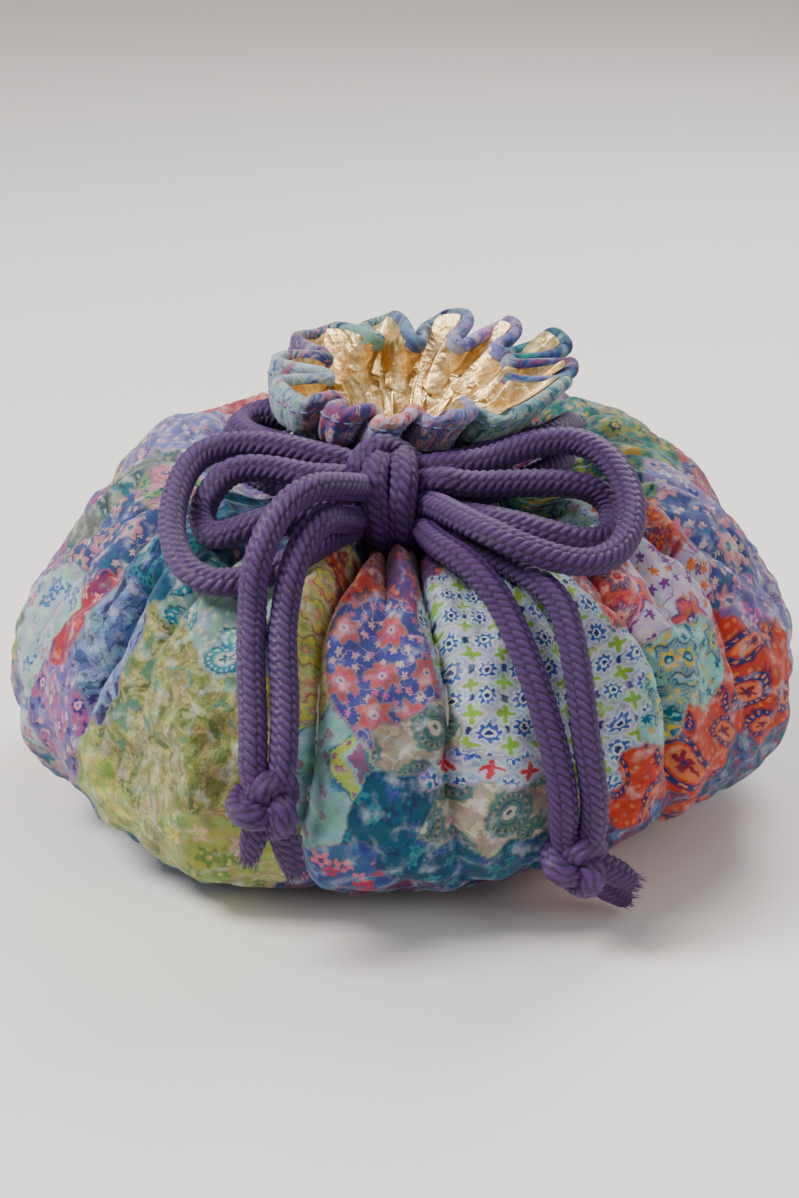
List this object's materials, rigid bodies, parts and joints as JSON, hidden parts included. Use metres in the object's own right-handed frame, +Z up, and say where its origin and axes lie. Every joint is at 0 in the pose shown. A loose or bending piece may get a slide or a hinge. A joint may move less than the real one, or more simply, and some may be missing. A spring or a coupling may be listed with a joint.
{
  "type": "drawstring pouch",
  "caption": "Round flat-based padded drawstring pouch with a gathered frill and doubled cords tied in a bow.",
  "frame": {"origin": "middle of the round base, on the surface the pouch stands on", "axes": "+Z up through the neck, front with the bow faces -Y, +X to the right seen from the front"},
  "size_m": [0.2002, 0.2119, 0.1155],
  "materials": {
    "printed_velvet": "printed velvet with short pile, patchwork-like floral print",
    "gold_lining": "metallic gold lining cloth with satin gloss",
    "interlining": "matt felted wadding",
    "sewing_thread": "polyester sewing thread",
    "purple_cord": "braided cotton-like cord with soft sheen"
  },
  "bodies": {
    "bag": {"side_panel": "printed_velvet", "side_interlining": "interlining", "side_lining": "gold_lining", "base_panel": "printed_velvet", "base_interlining": "interlining", "base_lining": "gold_lining", "base_seam_thread": "sewing_thread", "casing_lower_stitching": "sewing_thread", "casing_upper_stitching": "sewing_thread", "rim_topstitching": "sewing_thread", "left_buttonhole": "sewing_thread", "right_buttonhole": "sewing_thread", "left_cord_in_casing": "purple_cord", "right_cord_in_casing": "purple_cord", "left_lead_1": "purple_cord", "left_lead_2": "purple_cord", "right_lead_1": "purple_cord", "right_lead_2": "purple_cord", "left_tail_top_1": "purple_cord", "left_tail_top_2": "purple_cord", "right_tail_top_1": "purple_cord", "right_tail_top_2": "purple_cord", "bow_knot": "purple_cord"},
    "left_loop": {"left_loop_outer": "purple_cord", "left_loop_inner": "purple_cord"},
    "right_loop": {"right_loop_outer": "purple_cord", "right_loop_inner": "purple_cord"},
    "left_tail": {"left_tail_1": "purple_cord", "left_tail_2": "purple_cord", "left_end_knot": "purple_cord", "left_cord_tip_1": "purple_cord", "left_cord_tip_2": "purple_cord"},
    "right_tail": {"right_tail_1": "purple_cord", "right_tail_2": "purple_cord", "right_end_knot": "purple_cord", "right_cord_tip_1": "purple_cord", "right_cord_tip_2": "purple_cord"}
  },
  "joints": [
    {"name": "left_loop_lift", "type": "hinge", "parent": "bag", "child": "left_loop", "pos_m": [-0.003, -0.042, 0.09], "axis": [0, 1, 0], "range_deg": [0, 20]},
    {"name": "right_loop_lift", "type": "hinge", "parent": "bag", "child": "right_loop", "pos_m": [-0.003, -0.042, 0.09], "axis": [0, -1, 0], "range_deg": [0, 20]},
    {"name": "left_tail_lift", "type": "hinge", "parent": "bag", "child": "left_tail", "pos_m": [-0.0299, -0.084, 0.0765], "axis": [-1, 0, 0], "range_deg": [0, 60]},
    {"name": "right_tail_lift", "type": "hinge", "parent": "bag", "child": "right_tail", "pos_m": [0.02975, -0.0808, 0.0766], "axis": [-1, 0, 0], "range_deg": [0, 60]}
  ]
}
